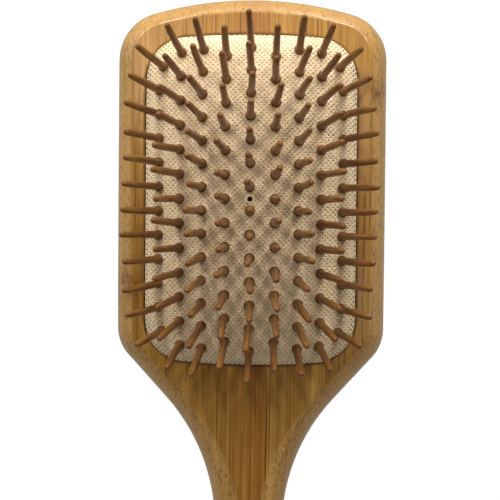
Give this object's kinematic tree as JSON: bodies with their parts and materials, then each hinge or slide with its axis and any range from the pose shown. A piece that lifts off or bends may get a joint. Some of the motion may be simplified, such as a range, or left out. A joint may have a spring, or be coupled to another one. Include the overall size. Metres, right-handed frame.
{
  "type": "paddle hair brush",
  "caption": "Bamboo paddle hair brush with a domed air cushion of rubber set in the board and columns of wooden pins that give way when brushing.",
  "frame": {"origin": "middle of the bounding box's underside: the board's back face lies at z = 0", "axes": "+X to the right seen from above the pins, +Y towards the top of the head, +Z out of the pins"},
  "size_m": [0.083, 0.25, 0.0441],
  "materials": {
    "bamboo": "satin oiled bamboo",
    "rubber": "matte natural rubber with a knurled surface",
    "pin_wood": "semi-gloss stained wood"
  },
  "bodies": {
    "paddle": {"bamboo_paddle": "bamboo"},
    "cushion": {"rubber_cushion": "rubber"},
    "pin_column_1": {"pin_column_1_top": "pin_wood", "pin_column_1_middle": "pin_wood", "pin_column_1_bottom": "pin_wood"},
    "pin_column_2": {"pin_column_2_top": "pin_wood", "pin_column_2_middle": "pin_wood", "pin_column_2_bottom": "pin_wood"},
    "pin_column_3": {"pin_column_3_top": "pin_wood", "pin_column_3_middle": "pin_wood", "pin_column_3_bottom": "pin_wood"},
    "pin_column_4": {"pin_column_4_top": "pin_wood", "pin_column_4_middle": "pin_wood", "pin_column_4_bottom": "pin_wood"},
    "pin_column_5": {"pin_column_5_top": "pin_wood", "pin_column_5_middle": "pin_wood", "pin_column_5_bottom": "pin_wood"},
    "pin_column_6": {"pin_column_6_top": "pin_wood", "pin_column_6_middle": "pin_wood", "pin_column_6_bottom": "pin_wood"},
    "pin_column_7": {"pin_column_7_top": "pin_wood", "pin_column_7_middle": "pin_wood", "pin_column_7_bottom": "pin_wood"},
    "pin_column_8": {"pin_column_8_top": "pin_wood", "pin_column_8_middle": "pin_wood", "pin_column_8_bottom": "pin_wood"},
    "pin_column_9": {"pin_column_9_top": "pin_wood", "pin_column_9_middle": "pin_wood", "pin_column_9_bottom": "pin_wood"}
  },
  "joints": [
    {"name": "cushion_press", "type": "slide", "parent": "paddle", "child": "cushion", "axis": [0, 0, -1], "range_m": [0, 0.0025], "stiffness_N_per_m": 4000, "deforming": ["rubber_cushion"]},
    {"name": "column_1_tilt", "type": "hinge", "parent": "cushion", "child": "pin_column_1", "pos_m": [-0.02705, 0.0628, 0.02004], "axis": [0, 1, 0], "range_deg": [-8, 8], "stiffness_Nm_per_rad": 0.15},
    {"name": "column_2_tilt", "type": "hinge", "parent": "cushion", "child": "pin_column_2", "pos_m": [-0.0208, 0.0628, 0.0221], "axis": [0, 1, 0], "range_deg": [-8, 8], "stiffness_Nm_per_rad": 0.15},
    {"name": "column_3_tilt", "type": "hinge", "parent": "cushion", "child": "pin_column_3", "pos_m": [-0.0142, 0.0628, 0.02344], "axis": [0, 1, 0], "range_deg": [-8, 8], "stiffness_Nm_per_rad": 0.15},
    {"name": "column_4_tilt", "type": "hinge", "parent": "cushion", "child": "pin_column_4", "pos_m": [-0.0073, 0.0628, 0.02433], "axis": [0, 1, 0], "range_deg": [-8, 8], "stiffness_Nm_per_rad": 0.15},
    {"name": "column_5_tilt", "type": "hinge", "parent": "cushion", "child": "pin_column_5", "pos_m": [0, 0.0628, 0.02417], "axis": [0, 1, 0], "range_deg": [-8, 8], "stiffness_Nm_per_rad": 0.15},
    {"name": "column_6_tilt", "type": "hinge", "parent": "cushion", "child": "pin_column_6", "pos_m": [0.0073, 0.0628, 0.02433], "axis": [0, 1, 0], "range_deg": [-8, 8], "stiffness_Nm_per_rad": 0.15},
    {"name": "column_7_tilt", "type": "hinge", "parent": "cushion", "child": "pin_column_7", "pos_m": [0.0142, 0.0628, 0.02344], "axis": [0, 1, 0], "range_deg": [-8, 8], "stiffness_Nm_per_rad": 0.15},
    {"name": "column_8_tilt", "type": "hinge", "parent": "cushion", "child": "pin_column_8", "pos_m": [0.0208, 0.0628, 0.0221], "axis": [0, 1, 0], "range_deg": [-8, 8], "stiffness_Nm_per_rad": 0.15},
    {"name": "column_9_tilt", "type": "hinge", "parent": "cushion", "child": "pin_column_9", "pos_m": [0.02705, 0.0628, 0.02004], "axis": [0, 1, 0], "range_deg": [-8, 8], "stiffness_Nm_per_rad": 0.15}
  ]
}
